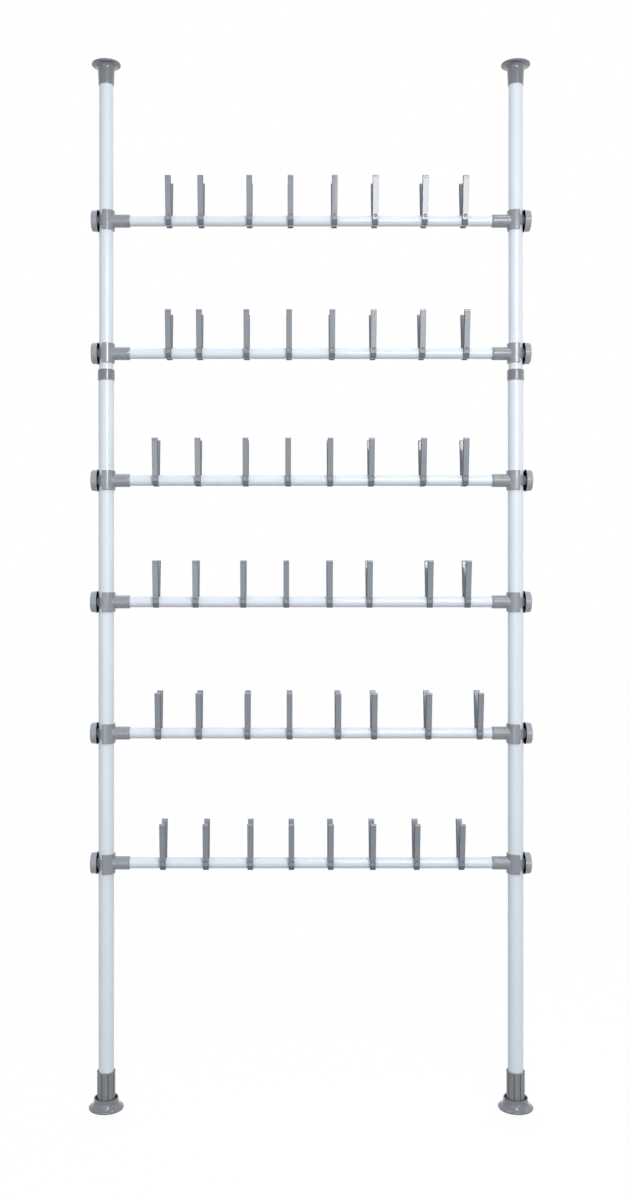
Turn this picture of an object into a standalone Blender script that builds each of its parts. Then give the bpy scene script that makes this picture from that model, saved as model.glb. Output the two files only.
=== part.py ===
"""Floor-to-ceiling shoe rack: two telescopic poles, six cross rails and forty-eight clip-on hooks.

Metres, +Z up, front towards -Y. The origin is on the floor, midway between the poles.
"""

import math

import bmesh
import bpy
from mathutils import Matrix

# Fits
CLEARANCE = 0.0003
TELESCOPE_GAP = 0.0005
CLIP_BITE = 0.0005

# Poles
POLE_SPACING = 0.880
RACK_HEIGHT = 2.244
OUTER_TUBE_D = 0.033
TUBE_WALL = 0.0010
INNER_TUBE_D = OUTER_TUBE_D - 2 * (TUBE_WALL + TELESCOPE_GAP)
OUTER_TUBE_TOP_Z = 1.579
INNER_TUBE_LENGTH = 1.560
TUBE_SEGMENTS = 20

# Guide collar on the outer tube
COLLAR_WALL = 0.0015
COLLAR_SKIRT = 0.016
COLLAR_HEIGHT = 0.023
COLLAR_BEVEL = 0.0020

# Ceiling cap
CAP_HEIGHT = 0.0465
CAP_FLANGE_D = 0.062
CAP_LIP = 0.0050
CAP_EDGE_ROUND = 0.0012
CAP_SLOPE = 0.0090
CAP_NECK_WALL = 0.0009
CAP_NECK_FLARE = 0.0016
CAP_ROOF = 0.0090
CAP_SEGMENTS = 20

# Foot
FOOT_D = 0.075
FOOT_HEIGHT = 0.023
FOOT_EDGE = 0.0036
FOOT_EDGE_ROUND = 0.0008
CUP_WALL = 0.0024
CUP_GAP = 0.0042
CUP_FLOOR = 0.0060
BOSS_WALL = 0.0040
BOSS_TOP = 0.0160
SOCKET_FLOOR = 0.0040
FOOT_SEGMENTS = 20

# Jack grip
GRIP_TOP_Z = 0.080
GRIP_BOTTOM_Z = 0.0105
GRIP_WALL = 0.0019
GRIP_TUBE_GAP = 0.0014
WEB_LOW_Z = 0.036
WEB_HIGH_Z = 0.046
GRIP_EDGE = 0.0008
GRIP_PANELS = 9
GROOVE_DEPTH = 0.0006
GROOVE_WIDTH = 0.0010
GROOVE_END = 0.0030
GRIP_SEGMENTS = 18

# Jack spindle
SPINDLE_D = 0.012
SPINDLE_TOP_Z = 0.160
SPINDLE_CHAMFER = 0.0010
SPINDLE_SEGMENTS = 12

# Rails, top to bottom
RAIL_D = 0.023
RAIL_WALL = 0.0012
RAIL_SEAT = 0.0240
RAIL_SEGMENTS = 16
RAIL_HEIGHTS = (1.906, 1.621, 1.348, 1.087, 0.805, 0.526)
RAILS_ON_INNER_TUBES = 2

# Brackets
RING_WALL = 0.0030
RING_HEIGHT = 0.042
RING_CUT_BACK = 0.0067
BAND_HALF_HEIGHT = 0.0108
SOCKET_WALL = 0.0024
SOCKET_REACH = 0.0515
BOSS_D = 0.0204
BOSS_REACH = 0.0244
RING_SEGMENTS = 20
SOCKET_SEGMENTS = 16
BOSS_SEGMENTS = 12

# Knobs
KNOB_D = 0.0468
KNOB_RIM_REACH = 0.0168
KNOB_FACE_REACH = 0.0315
KNOB_FLANGE = 0.0020
KNOB_FLANGE_STEP = 0.0005
KNOB_DRAFT = 0.0005
KNOB_ROUND = 0.0026
KNOB_WALL = 0.0026
KNOB_ROOF = 0.0032
KNOB_HUB_D = 0.0130
STUD_D = 0.0080
KNOB_SEGMENTS = 16
STUD_BORE_SEGMENTS = 12

# Shoe hooks
HOOK_WIDTH = 0.0120
HOOK_HEIGHT = 0.0892
PRONG_SPREAD = 0.0576
PRONG_LEAN = math.radians(8.9)
PRONG_THICKNESS = 0.0105
SADDLE_THICKNESS = 0.0037
FORK_CORNER = 0.0045
JAW_WALL = 0.0078
JAW_BREAK = 0.0025
JAW_DROP = 0.0122
JAW_TIP = 0.0032
JAW_WRAP = math.radians(35)
CLIP_STEPS = 8
TIP_STEPS = 3

# Hook places along each rail, top to bottom, as set out by hand: shares of the half length
# between the brackets' sockets
HOOK_PLACES = (
    (-0.7851, -0.6075, -0.3398, -0.1133, 0.1287, 0.3526, 0.6255, 0.8468),
    (-0.7851, -0.6152, -0.3552, -0.1210, 0.1158, 0.3423, 0.6126, 0.8546),
    (-0.8571, -0.6229, -0.3604, -0.1261, 0.1055, 0.3320, 0.6178, 0.8494),
    (-0.8546, -0.6358, -0.3732, -0.1364, 0.1030, 0.3218, 0.6538, 0.8623),
    (-0.8417, -0.6178, -0.3501, -0.1184, 0.1493, 0.3475, 0.6461, 0.9292),
    (-0.8160, -0.5792, -0.3346, -0.1081, 0.1081, 0.3398, 0.5817, 0.8288),
)

# Finishes: linear colour, roughness, metallic
WHITE_COAT = ((0.72, 0.76, 0.81, 1.0), 0.30, 0.0)
GREY_PLASTIC = ((0.25, 0.27, 0.29, 1.0), 0.35, 0.0)
BRIGHT_STEEL = ((0.60, 0.61, 0.62, 1.0), 0.30, 1.0)

MERGE = 0.00001
SMOOTH_ANGLE = math.radians(35)
OVERRUN = 0.010
X_AXIS = Matrix.Rotation(math.radians(90), 4, "Y")


def clear_scene():
    for obj in list(bpy.data.objects):
        bpy.data.objects.remove(obj, do_unlink=True)


def new_collection(name):
    collection = bpy.data.collections.new(name)
    bpy.context.scene.collection.children.link(collection)
    return collection


def new_material(name, finish):
    colour, roughness, metallic = finish
    material = bpy.data.materials.new(name)
    material.use_nodes = True
    shader = material.node_tree.nodes["Principled BSDF"]
    shader.inputs["Base Color"].default_value = colour
    shader.inputs["Roughness"].default_value = roughness
    shader.inputs["Metallic"].default_value = metallic
    material.diffuse_color = colour
    return material


def baked(obj, name):
    """The object's evaluated mesh, welded and facing outwards; the object itself is removed."""
    graph = bpy.context.evaluated_depsgraph_get()
    mesh = bpy.data.meshes.new_from_object(obj.evaluated_get(graph))
    mesh.name = name
    shape = bmesh.new()
    shape.from_mesh(mesh)
    bmesh.ops.remove_doubles(shape, verts=shape.verts, dist=MERGE)
    bmesh.ops.recalc_face_normals(shape, faces=shape.faces)
    shape.to_mesh(mesh)
    shape.free()
    bpy.data.objects.remove(obj, do_unlink=True)
    return mesh


def linked(mesh):
    obj = bpy.data.objects.new(mesh.name, mesh)
    bpy.context.scene.collection.objects.link(obj)
    return obj


def turned(name, profile, segments):
    """A (radius, height) profile, running down its outer side, screwed round Z."""
    mesh = bpy.data.meshes.new(name)
    closed = profile[0][0] > 0
    edges = [(i, i + 1) for i in range(len(profile) - 1)]
    if closed:
        edges.append((len(profile) - 1, 0))
    mesh.from_pydata([(radius, 0.0, height) for radius, height in profile], edges, [])
    obj = linked(mesh)
    screw = obj.modifiers.new("turn", "SCREW")
    screw.axis = "Z"
    screw.steps = segments
    screw.render_steps = segments
    screw.use_merge_vertices = True
    screw.merge_threshold = MERGE
    return baked(obj, name)


def tube(name, diameter, wall, low, high, segments):
    outer = diameter / 2
    inner = outer - wall
    return turned(name, [(outer, high), (outer, low), (inner, low), (inner, high)], segments)


def cylinder(radius, start, end, segments, matrix=None):
    """A cylinder from start to end along Z, or along the axis that the matrix turns Z to."""
    mesh = bpy.data.meshes.new("cylinder")
    shape = bmesh.new()
    bmesh.ops.create_cone(
        shape, cap_ends=True, segments=segments, radius1=radius, radius2=radius, depth=end - start
    )
    bmesh.ops.translate(shape, verts=shape.verts, vec=(0, 0, (start + end) / 2))
    if matrix is not None:
        bmesh.ops.transform(shape, verts=shape.verts, matrix=matrix)
    shape.to_mesh(mesh)
    shape.free()
    return mesh


def box(low, high):
    mesh = bpy.data.meshes.new("box")
    shape = bmesh.new()
    size = [b - a for a, b in zip(low, high)]
    middle = [(a + b) / 2 for a, b in zip(low, high)]
    bmesh.ops.create_cube(shape, size=1.0)
    bmesh.ops.scale(shape, verts=shape.verts, vec=size)
    bmesh.ops.translate(shape, verts=shape.verts, vec=middle)
    shape.to_mesh(mesh)
    shape.free()
    return mesh


def combined(name, base, joined=(), cut=()):
    """The base mesh with other meshes joined to it and then cut from it."""
    body = linked(base)
    helpers = []
    for operation, meshes in (("UNION", joined), ("DIFFERENCE", cut)):
        for mesh in meshes:
            helper = linked(mesh)
            helper.hide_render = True
            helper.display_type = "WIRE"
            boolean = body.modifiers.new(operation.lower(), "BOOLEAN")
            boolean.operation = operation
            boolean.solver = "EXACT"
            boolean.object = helper
            helpers.append(helper)
    mesh = baked(body, name)
    for helper in helpers:
        bpy.data.objects.remove(helper, do_unlink=True)
    return mesh


def arc(centre, radius, start, end, steps):
    """Points on an arc, ends included, as (across, up)."""
    points = []
    for i in range(steps + 1):
        angle = start + (end - start) * i / steps
        points.append((centre[0] + radius * math.cos(angle), centre[1] + radius * math.sin(angle)))
    return points


def place(name, mesh, material, location=(0, 0, 0), turn=0.0, parent=None):
    obj = bpy.data.objects.new(name, mesh)
    rack.objects.link(obj)
    if not mesh.materials:
        mesh.materials.append(material)
        mesh.shade_smooth()
        mesh.set_sharp_from_angle(angle=SMOOTH_ANGLE)
    obj.location = location
    obj.rotation_euler.z = turn
    obj.parent = parent
    return obj


def frame_point(name, location, turn=0.0):
    empty = bpy.data.objects.new(name, None)
    empty.location = location
    empty.rotation_euler.z = turn
    rack.objects.link(empty)
    return empty


def collar_mesh():
    """The skirt sits over the outer tube's end, and the lip above it guides the inner tube."""
    outer = OUTER_TUBE_D / 2 + CLEARANCE + COLLAR_WALL
    skirt = OUTER_TUBE_D / 2 + CLEARANCE
    guide = INNER_TUBE_D / 2 + CLEARANCE
    bottom = OUTER_TUBE_TOP_Z - COLLAR_SKIRT
    shelf = OUTER_TUBE_TOP_Z + CLEARANCE
    top = bottom + COLLAR_HEIGHT
    profile = [
        (guide, top),
        (outer - COLLAR_BEVEL / 2, top),
        (outer, top - COLLAR_BEVEL),
        (outer, bottom),
        (skirt, bottom),
        (skirt, shelf),
        (guide, shelf),
    ]
    return turned("guide_collar", profile, TUBE_SEGMENTS)


def cap_mesh():
    """Flanged disc against the ceiling, with a tapering neck pressed over the inner tube."""
    bore = INNER_TUBE_D / 2 + CLEARANCE
    neck = bore + CAP_NECK_WALL
    neck_top = neck + CAP_NECK_FLARE
    flange = CAP_FLANGE_D / 2
    bottom = RACK_HEIGHT - CAP_HEIGHT
    lip = RACK_HEIGHT - CAP_LIP
    slope_end = lip - CAP_SLOPE
    profile = [
        (0.0, RACK_HEIGHT),
        (flange - CAP_EDGE_ROUND, RACK_HEIGHT),
        (flange, RACK_HEIGHT - CAP_EDGE_ROUND),
        (flange, lip),
        (flange - CAP_EDGE_ROUND * 2, lip - CAP_EDGE_ROUND),
        (neck_top + (flange - neck_top) * 0.30, slope_end + CAP_SLOPE * 0.22),
        (neck_top + CAP_EDGE_ROUND * 0.5, slope_end),
        (neck_top, slope_end - CAP_EDGE_ROUND * 2),
        (neck, bottom),
        (bore, bottom),
        (bore, RACK_HEIGHT - CAP_ROOF),
        (0.0, RACK_HEIGHT - CAP_ROOF),
    ]
    return turned("ceiling_cap", profile, CAP_SEGMENTS)


def grip_radius():
    return OUTER_TUBE_D / 2 + GRIP_TUBE_GAP + GRIP_WALL


def foot_mesh():
    """Flared disc with a raised cup ring round the grip and a boss that holds the spindle."""
    edge = FOOT_D / 2
    cup_inner = grip_radius() + CUP_GAP
    cup_outer = cup_inner + CUP_WALL
    socket = SPINDLE_D / 2 + CLEARANCE
    boss = socket + BOSS_WALL
    flare = edge - cup_outer
    rise = FOOT_HEIGHT - FOOT_EDGE
    round_in = edge - FOOT_EDGE_ROUND
    profile = [
        (cup_inner, FOOT_HEIGHT - FOOT_EDGE_ROUND),
        (cup_inner + FOOT_EDGE_ROUND, FOOT_HEIGHT),
        (cup_outer - FOOT_EDGE_ROUND, FOOT_HEIGHT),
        (cup_outer, FOOT_HEIGHT - FOOT_EDGE_ROUND),
        (cup_outer + flare * 0.05, FOOT_EDGE + rise * 0.68),
        (cup_outer + flare * 0.24, FOOT_EDGE + rise * 0.42),
        (cup_outer + flare * 0.62, FOOT_EDGE + rise * 0.17),
        (edge, FOOT_EDGE),
        (edge, FOOT_EDGE_ROUND),
        (round_in, 0.0),
        (0.0, 0.0),
    ]
    hollow = [
        (0.0, SOCKET_FLOOR),
        (socket, SOCKET_FLOOR),
        (socket, BOSS_TOP),
        (boss, BOSS_TOP),
        (boss, CUP_FLOOR),
        (cup_inner, CUP_FLOOR),
    ]
    outline = [(0.0, SOCKET_FLOOR)] + hollow[1:] + profile
    return turned("foot", outline, FOOT_SEGMENTS)


def grip_mesh():
    """Sleeve with an inner web: the outer tube stands on the web, and the spindle screws through it."""
    outer = grip_radius()
    bore = outer - GRIP_WALL
    thread = SPINDLE_D / 2 + CLEARANCE
    profile = [
        (bore, GRIP_TOP_Z),
        (outer - GRIP_EDGE, GRIP_TOP_Z),
        (outer, GRIP_TOP_Z - GRIP_EDGE),
        (outer, GRIP_BOTTOM_Z + GRIP_EDGE),
        (outer - GRIP_EDGE, GRIP_BOTTOM_Z),
        (bore, GRIP_BOTTOM_Z),
        (bore, WEB_LOW_Z),
        (thread, WEB_LOW_Z),
        (thread, WEB_HIGH_Z),
        (bore, WEB_HIGH_Z),
    ]
    sleeve = turned("jack_grip", profile, GRIP_SEGMENTS)
    grooves = []
    for i in range(GRIP_PANELS):
        angle = 2 * math.pi * (i + 0.5) / GRIP_PANELS
        groove = box(
            (outer - GROOVE_DEPTH, -GROOVE_WIDTH / 2, GRIP_BOTTOM_Z - OVERRUN),
            (outer + OVERRUN, GROOVE_WIDTH / 2, GRIP_TOP_Z - GROOVE_END),
        )
        groove.transform(Matrix.Rotation(angle, 4, "Z"))
        grooves.append(groove)
    return combined("jack_grip", sleeve, cut=grooves)


def spindle_mesh():
    radius = SPINDLE_D / 2
    bottom = SOCKET_FLOOR + CLEARANCE
    profile = [
        (0.0, SPINDLE_TOP_Z),
        (radius - SPINDLE_CHAMFER, SPINDLE_TOP_Z),
        (radius, SPINDLE_TOP_Z - SPINDLE_CHAMFER),
        (radius, bottom),
        (0.0, bottom),
    ]
    return turned("jack_spindle", profile, SPINDLE_SEGMENTS)


def bracket_mesh(name, tube_diameter):
    """Ring round the pole, socket for the rail towards +X, boss for the knob towards -X."""
    bore = tube_diameter / 2 + CLEARANCE
    ring_radius = bore + RING_WALL
    socket_bore = RAIL_D / 2 + CLEARANCE
    stud_bore = STUD_D / 2 + CLEARANCE
    half = RING_HEIGHT / 2
    ring = cylinder(ring_radius, -half, half, RING_SEGMENTS)
    socket = cylinder(socket_bore + SOCKET_WALL, bore / 2, SOCKET_REACH, SOCKET_SEGMENTS, X_AXIS)
    boss = cylinder(BOSS_D / 2, -BOSS_REACH, -bore / 2, BOSS_SEGMENTS, X_AXIS)
    far = ring_radius + OVERRUN
    cut_backs = [
        box((-far, -far, BAND_HALF_HEIGHT), (-RING_CUT_BACK, far, half + OVERRUN)),
        box((-far, -far, -half - OVERRUN), (-RING_CUT_BACK, far, -BAND_HALF_HEIGHT)),
    ]
    bores = [
        cylinder(bore, -half - OVERRUN, half + OVERRUN, RING_SEGMENTS),
        cylinder(
            socket_bore, RAIL_SEAT - CLEARANCE, SOCKET_REACH + OVERRUN, SOCKET_SEGMENTS, X_AXIS
        ),
        cylinder(stud_bore, -BOSS_REACH - OVERRUN, -bore / 2, STUD_BORE_SEGMENTS, X_AXIS),
    ]
    return combined(name, ring, joined=[socket, boss], cut=cut_backs + bores)


def knob_mesh(name, tube_diameter):
    """Hollow-backed knob on the rail's axis, towards -X, with its stud up to the tube."""
    radius = KNOB_D / 2
    body = radius - KNOB_FLANGE_STEP
    face_edge = body - KNOB_DRAFT
    flange_top = KNOB_RIM_REACH + KNOB_FLANGE
    hollow = body - KNOB_WALL
    roof = KNOB_FACE_REACH - KNOB_ROOF
    hub_face = BOSS_REACH + CLEARANCE
    stud_tip = tube_diameter / 2 + CLEARANCE
    corner = (face_edge - KNOB_ROUND, KNOB_FACE_REACH - KNOB_ROUND)
    rounded = arc(corner, KNOB_ROUND, math.pi / 2, 0.0, 1)
    profile = (
        [(0.0, KNOB_FACE_REACH)]
        + rounded
        + [
            (body, flange_top),
            (radius, flange_top),
            (radius, KNOB_RIM_REACH),
            (hollow, KNOB_RIM_REACH),
            (hollow, roof),
            (KNOB_HUB_D / 2, roof),
            (KNOB_HUB_D / 2, hub_face),
            (STUD_D / 2, hub_face),
            (STUD_D / 2, stud_tip),
            (0.0, stud_tip),
        ]
    )
    mesh = turned(name, profile, KNOB_SEGMENTS)
    mesh.transform(Matrix.Rotation(math.radians(-90), 4, "Y"))
    return mesh


def hook_outline(clip_radius):
    """Side view of a hook, as (across, up) from the rail's centre, all round."""
    lean_out = math.sin(PRONG_LEAN)
    lean_up = math.cos(PRONG_LEAN)
    tip_round = PRONG_THICKNESS / 2
    tip = (PRONG_SPREAD / 2, HOOK_HEIGHT - tip_round)
    slope = lean_out / lean_up
    seat = RAIL_D / 2 + CLEARANCE
    floor = seat + SADDLE_THICKNESS
    inner_offset = -tip_round / lean_up
    corner_low = tip[0] + (floor + FORK_CORNER - tip[1]) * slope + inner_offset
    jaw = seat + JAW_WALL
    break_out = tip[0] - (tip[1] + JAW_BREAK) * slope + tip_round / lean_up
    side = [
        (corner_low - FORK_CORNER, floor),
        (corner_low, floor + FORK_CORNER),
    ]
    side += arc(tip, tip_round, math.pi - PRONG_LEAN, -PRONG_LEAN, TIP_STEPS)
    side += [
        (min(break_out, jaw), -JAW_BREAK),
        (seat * math.cos(JAW_WRAP) + JAW_TIP, -JAW_DROP),
        (seat * math.cos(JAW_WRAP), -JAW_DROP),
    ]
    other_side = [(-across, up) for across, up in reversed(side)]
    clip = arc((0.0, 0.0), clip_radius, -JAW_WRAP, math.pi + JAW_WRAP, CLIP_STEPS)
    return side + clip + other_side


def hook_mesh(name, clip_radius):
    """The outline filled and given the hook's width, standing across the rail."""
    curve = bpy.data.curves.new(name, "CURVE")
    curve.dimensions = "2D"
    curve.fill_mode = "BOTH"
    curve.extrude = HOOK_WIDTH / 2
    outline = hook_outline(clip_radius)
    spline = curve.splines.new("POLY")
    spline.points.add(len(outline) - 1)
    for point, (across, up) in zip(spline.points, outline):
        point.co = (across, up, 0.0, 1.0)
    spline.use_cyclic_u = True
    obj = bpy.data.objects.new(name, curve)
    bpy.context.scene.collection.objects.link(obj)
    mesh = baked(obj, name)
    mesh.transform(Matrix(((0, 0, 1, 0), (1, 0, 0, 0), (0, 1, 0, 0), (0, 0, 0, 1))))
    return mesh


def rail_length():
    return POLE_SPACING - 2 * RAIL_SEAT


def hook_spots(places):
    """Distances from the rail's middle, for places given as shares of its free half."""
    free_half = POLE_SPACING / 2 - SOCKET_REACH
    return [place * free_half for place in places]


def rail_mesh(name):
    half = rail_length() / 2
    mesh = tube(name, RAIL_D, RAIL_WALL, -half, half, RAIL_SEGMENTS)
    mesh.transform(X_AXIS)
    return mesh


def hooked_rail_mesh(name, places):
    """A rail with its hooks' clips biting into the wall, so that rail and hooks are one piece."""
    hooks = []
    for x in hook_spots(places):
        hook = hook_mesh("hook", RAIL_D / 2 - CLIP_BITE)
        hook.transform(Matrix.Translation((x, 0, 0)))
        hooks.append(hook)
    return combined(name, rail_mesh(name), joined=hooks)


def build_poles():
    outer = tube(
        "outer_tube", OUTER_TUBE_D, TUBE_WALL, WEB_HIGH_Z + CLEARANCE, OUTER_TUBE_TOP_Z, TUBE_SEGMENTS
    )
    inner_top = RACK_HEIGHT - CAP_ROOF - CLEARANCE
    inner = tube(
        "inner_tube", INNER_TUBE_D, TUBE_WALL, inner_top - INNER_TUBE_LENGTH, inner_top, TUBE_SEGMENTS
    )
    pieces = (
        ("outer_tube", outer, white),
        ("inner_tube", inner, white),
        ("guide_collar", collar_mesh(), grey),
        ("ceiling_cap", cap_mesh(), grey),
        ("foot", foot_mesh(), grey),
        ("jack_grip", grip_mesh(), grey),
        ("jack_spindle", spindle_mesh(), steel),
    )
    for side, x in (("left", -POLE_SPACING / 2), ("right", POLE_SPACING / 2)):
        axis = frame_point(side + "_pole_axis", (x, 0, 0))
        for piece, mesh, material in pieces:
            place(side + "_" + piece, mesh, material, parent=axis)


def build_fittings(row, height, tube_diameter, bracket, knob):
    """A bracket and a knob at each end of a rail; the right-hand pair is turned half round."""
    for side, x, turn in (("left", -POLE_SPACING / 2, 0.0), ("right", POLE_SPACING / 2, math.pi)):
        corner = frame_point("rail_%d_%s_corner" % (row, side), (x, 0, height), turn)
        place("rail_%d_%s_bracket" % (row, side), bracket, grey, parent=corner)
        place("rail_%d_%s_knob" % (row, side), knob, grey, parent=corner)


def build_rows():
    upper_bracket = bracket_mesh("upper_bracket", INNER_TUBE_D)
    lower_bracket = bracket_mesh("lower_bracket", OUTER_TUBE_D)
    upper_knob = knob_mesh("upper_knob", INNER_TUBE_D)
    lower_knob = knob_mesh("lower_knob", OUTER_TUBE_D)
    flat_share = math.cos((math.pi + 2 * JAW_WRAP) / CLIP_STEPS / 2)
    loose_hook = hook_mesh("shoe_hook", (RAIL_D / 2 + CLEARANCE) / flat_share)
    plain_rail = rail_mesh("plain_rail")
    for row, (height, places) in enumerate(zip(RAIL_HEIGHTS, HOOK_PLACES), start=1):
        if row <= RAILS_ON_INNER_TUBES:
            build_fittings(row, height, INNER_TUBE_D, upper_bracket, upper_knob)
            place("rail_%d" % row, plain_rail, white, (0, 0, height))
            for number, x in enumerate(hook_spots(places), start=1):
                place("hook_%d_%d" % (row, number), loose_hook, grey, (x, 0, height))
        else:
            build_fittings(row, height, OUTER_TUBE_D, lower_bracket, lower_knob)
            hooked = hooked_rail_mesh("hooked_rail_%d" % row, places)
            place("rail_%d" % row, hooked, white, (0, 0, height))


clear_scene()
rack = new_collection("shoe_rack")
white = new_material("white_coated_steel", WHITE_COAT)
grey = new_material("grey_plastic", GREY_PLASTIC)
steel = new_material("bright_steel", BRIGHT_STEEL)
build_poles()
build_rows()
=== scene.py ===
# Shoe rack held between floor and ceiling: two telescopic poles, six rails, forty-eight clip-on hooks
import math

import bpy
from mathutils import Matrix, Vector


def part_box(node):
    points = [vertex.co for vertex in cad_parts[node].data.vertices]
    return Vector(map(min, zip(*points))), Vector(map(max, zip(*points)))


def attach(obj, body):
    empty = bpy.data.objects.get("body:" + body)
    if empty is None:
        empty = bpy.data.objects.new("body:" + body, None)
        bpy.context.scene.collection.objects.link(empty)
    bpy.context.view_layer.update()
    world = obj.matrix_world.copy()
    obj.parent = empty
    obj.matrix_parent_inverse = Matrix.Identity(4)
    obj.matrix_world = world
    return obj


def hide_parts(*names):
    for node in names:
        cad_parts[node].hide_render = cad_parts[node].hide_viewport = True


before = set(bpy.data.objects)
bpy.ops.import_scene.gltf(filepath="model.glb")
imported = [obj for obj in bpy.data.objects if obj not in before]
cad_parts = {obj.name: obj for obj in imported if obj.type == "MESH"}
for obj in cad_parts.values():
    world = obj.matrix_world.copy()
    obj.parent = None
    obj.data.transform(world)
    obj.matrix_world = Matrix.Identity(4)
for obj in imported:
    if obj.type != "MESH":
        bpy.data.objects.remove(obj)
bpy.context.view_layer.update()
print("stage: frame loaded,", len(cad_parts), "nodes")

mm = 0.001

rack = {  # in metres
    "poleX": 0.440,
    "railHeights": (1.906, 1.621, 1.348, 1.087, 0.805, 0.526),
    "rowsOnInnerTubes": 2,
    "railRadius": 0.0115,
    "outerTubeRadius": 0.0165,
    "innerTubeRadius": 0.0150,
    "clearance": 0.0003,
    "hookPlaces": (  # along each rail, top rail first, as they were set out by hand
        (-0.305, -0.236, -0.132, -0.044, 0.050, 0.137, 0.243, 0.329),
        (-0.305, -0.239, -0.138, -0.047, 0.045, 0.133, 0.238, 0.332),
        (-0.333, -0.242, -0.140, -0.049, 0.041, 0.129, 0.240, 0.330),
        (-0.332, -0.247, -0.145, -0.053, 0.040, 0.125, 0.254, 0.335),
        (-0.327, -0.240, -0.136, -0.046, 0.058, 0.135, 0.251, 0.361),
        (-0.317, -0.225, -0.130, -0.042, 0.042, 0.132, 0.226, 0.322),
    ),
}
poleSides = (("left", -rack["poleX"]), ("right", rack["poleX"]))


# Small helpers for working as by hand

def clearSelection():
    bpy.ops.object.select_all(action="DESELECT")


def pick(piece):
    clearSelection()
    piece.select_set(True)
    bpy.context.view_layer.objects.active = piece


def editWhole():
    bpy.ops.object.mode_set(mode="EDIT")
    bpy.ops.mesh.select_all(action="SELECT")


def objectMode():
    bpy.ops.object.mode_set(mode="OBJECT")


def settle(piece):  # place, turn and size go into the mesh
    pick(piece)
    bpy.ops.object.transform_apply(location=True, rotation=True, scale=True)


def tidyMesh(piece, mergeDistance=0.01 * mm):
    pick(piece)
    editWhole()
    bpy.ops.mesh.remove_doubles(threshold=mergeDistance)
    bpy.ops.mesh.select_all(action="SELECT")
    bpy.ops.mesh.normals_make_consistent(inside=False)
    objectMode()


def applyModifier(piece, kind, **settings):
    pick(piece)
    modifier = piece.modifiers.new(kind.lower(), kind)
    for key, value in settings.items():
        setattr(modifier, key, value)
    bpy.ops.object.modifier_apply(modifier=modifier.name)


def softenEdges(piece, width, segments=2, angle=40):
    limit = math.radians(angle)
    applyModifier(piece, "BEVEL", width=width, segments=segments, limit_method="ANGLE", angle_limit=limit)


# Smooth, with the widest faces leading, so that no flat side or long tube is tilted by its rounded edge
def smoothShade(piece, angle=35):
    pick(piece)
    bpy.ops.object.shade_smooth_by_angle(angle=math.radians(angle))
    applyModifier(piece, "WEIGHTED_NORMAL", mode="FACE_AREA", weight=100, keep_sharp=True)


def removePiece(piece):
    bpy.data.objects.remove(piece, do_unlink=True)


def cutAway(piece, cutter):
    applyModifier(piece, "BOOLEAN", operation="DIFFERENCE", solver="EXACT", object=cutter)
    removePiece(cutter)


def weld(piece, other):
    applyModifier(piece, "BOOLEAN", operation="UNION", solver="EXACT", object=other)
    removePiece(other)


# A ring of edges drawn and extruded from ring to ring: rings are (radius, height) pairs
def latheRings(name, rings, sides, closed=False):
    radius, height = rings[0]
    fill = "NOTHING" if closed else "NGON"
    clearSelection()
    bpy.ops.mesh.primitive_circle_add(vertices=sides, radius=radius, fill_type=fill, location=(0, 0, height))
    piece = bpy.context.object
    piece.name = name
    settle(piece)
    editWhole()
    for nextRadius, nextHeight in rings[1:] + (rings[:1] if closed else []):
        bpy.ops.mesh.extrude_region_move(TRANSFORM_OT_translate={"value": (0, 0, nextHeight - height)})
        if nextRadius != radius:
            grow = nextRadius / radius
            bpy.ops.transform.resize(value=(grow, grow, 1), center_override=(0, 0, nextHeight))
        radius, height = nextRadius, nextHeight
    objectMode()
    tidyMesh(piece)
    return piece


def rod(name, radius, start, end, sides, along="Z"):
    clearSelection()
    turn = (0, math.radians(90), 0) if along == "X" else (0, 0, 0)
    middle = (start + end) / 2
    place = (middle, 0, 0) if along == "X" else (0, 0, middle)
    length = end - start
    bpy.ops.mesh.primitive_cylinder_add(
        vertices=sides, radius=radius, depth=length, location=place, rotation=turn
    )
    piece = bpy.context.object
    piece.name = name
    settle(piece)
    return piece


def arcPoints(centre, radius, startDegrees, endDegrees, steps):
    points = []
    for i in range(steps + 1):
        angle = math.radians(startDegrees + (endDegrees - startDegrees) * i / steps)
        points.append((centre[0] + radius * math.cos(angle), centre[1] + radius * math.sin(angle)))
    return points


# A copy with its own mesh, its place in the mesh
def placeCopy(master, name, matrix):
    piece = master.copy()
    piece.data = master.data.copy()
    piece.name = name
    piece.data.name = name
    piece.data.transform(matrix)
    bpy.context.scene.collection.objects.link(piece)
    return piece


def dress(piece, body, node, slotName, *materials):
    for material in materials:
        piece.data.materials.append(material)
    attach(piece, body)
    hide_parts(node)


# A master copied onto both poles and then taken away; {} in a name stands for the side
def dressBothPoles(master, name, body, node, slotName, *materials):
    for side, x in poleSides:
        piece = placeCopy(master, name.format(side), Matrix.Translation((x, 0, 0)))
        dress(piece, body.format(side), node.format(side), slotName, *materials)
    removePiece(master)


# Materials

def linearColour(hexText):
    parts = [int(hexText[i:i + 2], 16) / 255 for i in (1, 3, 5)]
    parts = [p / 12.92 if p <= 0.04045 else ((p + 0.055) / 1.055) ** 2.4 for p in parts]
    return (*parts, 1.0)


def newMaterial(name):
    material = bpy.data.materials.new(name)
    material.use_nodes = True
    material.node_tree.nodes.clear()
    return material


def addNode(material, kind, settings=None, links=None):
    node = material.node_tree.nodes.new(kind)
    for key, value in (settings or {}).items():
        if isinstance(key, str) and hasattr(node, key):
            setattr(node, key, value)
        else:
            node.inputs[key].default_value = value
    for key, source in (links or {}).items():
        material.node_tree.links.new(source, node.inputs[key])
    return node


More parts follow.
